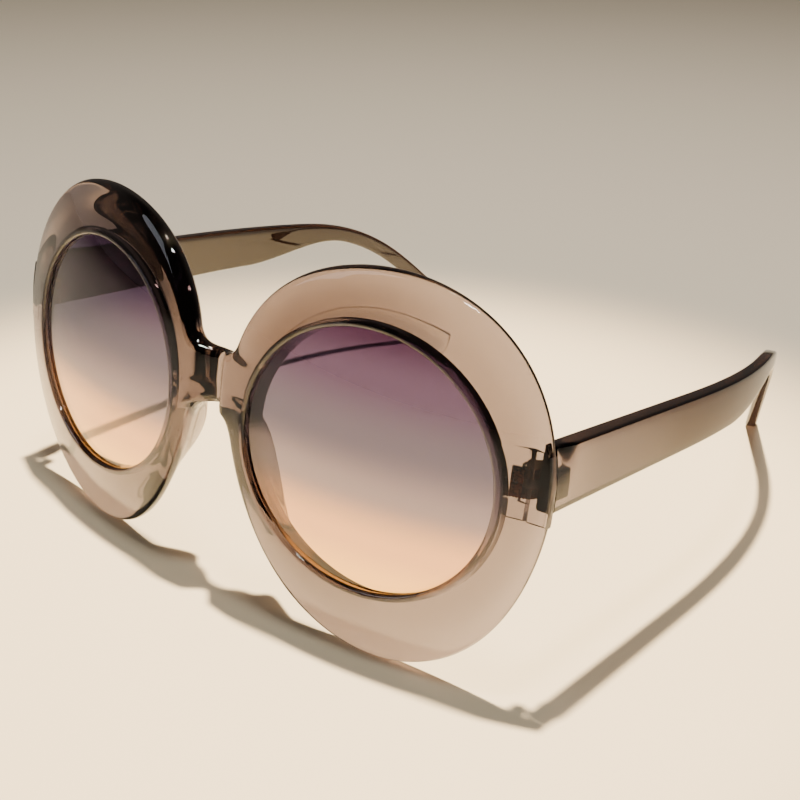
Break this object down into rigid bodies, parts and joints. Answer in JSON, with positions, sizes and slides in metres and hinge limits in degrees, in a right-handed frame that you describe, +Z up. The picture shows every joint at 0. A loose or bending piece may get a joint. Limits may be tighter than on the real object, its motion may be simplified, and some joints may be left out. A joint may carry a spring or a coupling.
{
  "type": "sunglasses",
  "caption": "Oversized round sunglasses with a wide moulded front, thick bridge with built-in nose pads, tinted lenses and flat temples that fold on screwed leaf hinges.",
  "frame": {"origin": "middle of the bounding box at the table, with the glasses standing open on the rims and the temple tips", "axes": "+X to the wearer's left, +Y from the lenses back along the temples, +Z up from the table"},
  "size_m": [0.1428, 0.1438, 0.0723],
  "materials": {
    "plastic": "polished translucent smoky taupe",
    "lens": "gradient tint from plum to peach, polished",
    "hinge": "satin bronze",
    "screw": "polished"
  },
  "bodies": {
    "front": {"front_frame": "plastic", "lens_left": "lens", "lens_right": "lens", "hinge_front_leaf_left": "hinge", "hinge_front_leaf_right": "hinge", "hinge_screw_left": "screw", "hinge_screw_right": "screw"},
    "temple_left": {"temple_left": "plastic", "hinge_temple_leaf_left": "hinge"},
    "temple_right": {"temple_right": "plastic", "hinge_temple_leaf_right": "hinge"}
  },
  "joints": [
    {"name": "fold_left", "type": "hinge", "parent": "front", "child": "temple_left", "pos_m": [0.06541, -0.05595, 0.04147], "axis": [0, 0.1287, 0.9917], "range_deg": [0, 80]},
    {"name": "fold_right", "type": "hinge", "parent": "front", "child": "temple_right", "pos_m": [-0.06541, -0.05595, 0.04147], "axis": [0, -0.1287, -0.9917], "range_deg": [0, 70]}
  ]
}
